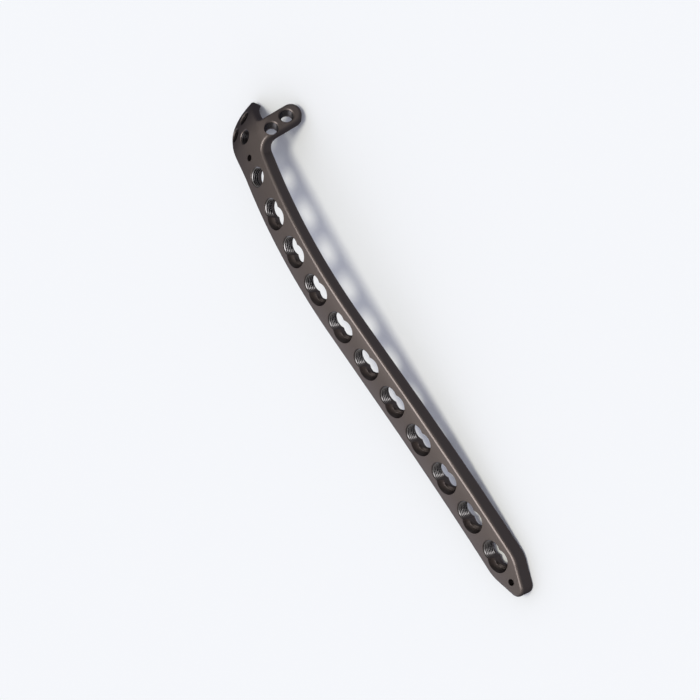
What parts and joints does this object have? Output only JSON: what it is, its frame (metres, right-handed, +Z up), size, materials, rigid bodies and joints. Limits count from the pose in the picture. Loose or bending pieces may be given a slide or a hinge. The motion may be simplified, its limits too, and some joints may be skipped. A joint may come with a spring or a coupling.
{
  "type": "orthopedic bone plate",
  "caption": "Long contoured locking plate that bridges a limb bone fracture, with slotted screw holes, a bowed shaft and a hooked head with a side tab.",
  "frame": {"origin": "centre of the base of the plate's box, on the surface that it lies on", "axes": "+X along the plate towards the head, +Y towards the side away from the tab, +Z up out of the bone side"},
  "size_m": [0.1664, 0.022, 0.0174],
  "materials": {
    "titanium": "satin anodised titanium alloy"
  },
  "bodies": {
    "root": {"bone_plate": "titanium"}
  },
  "joints": []
}
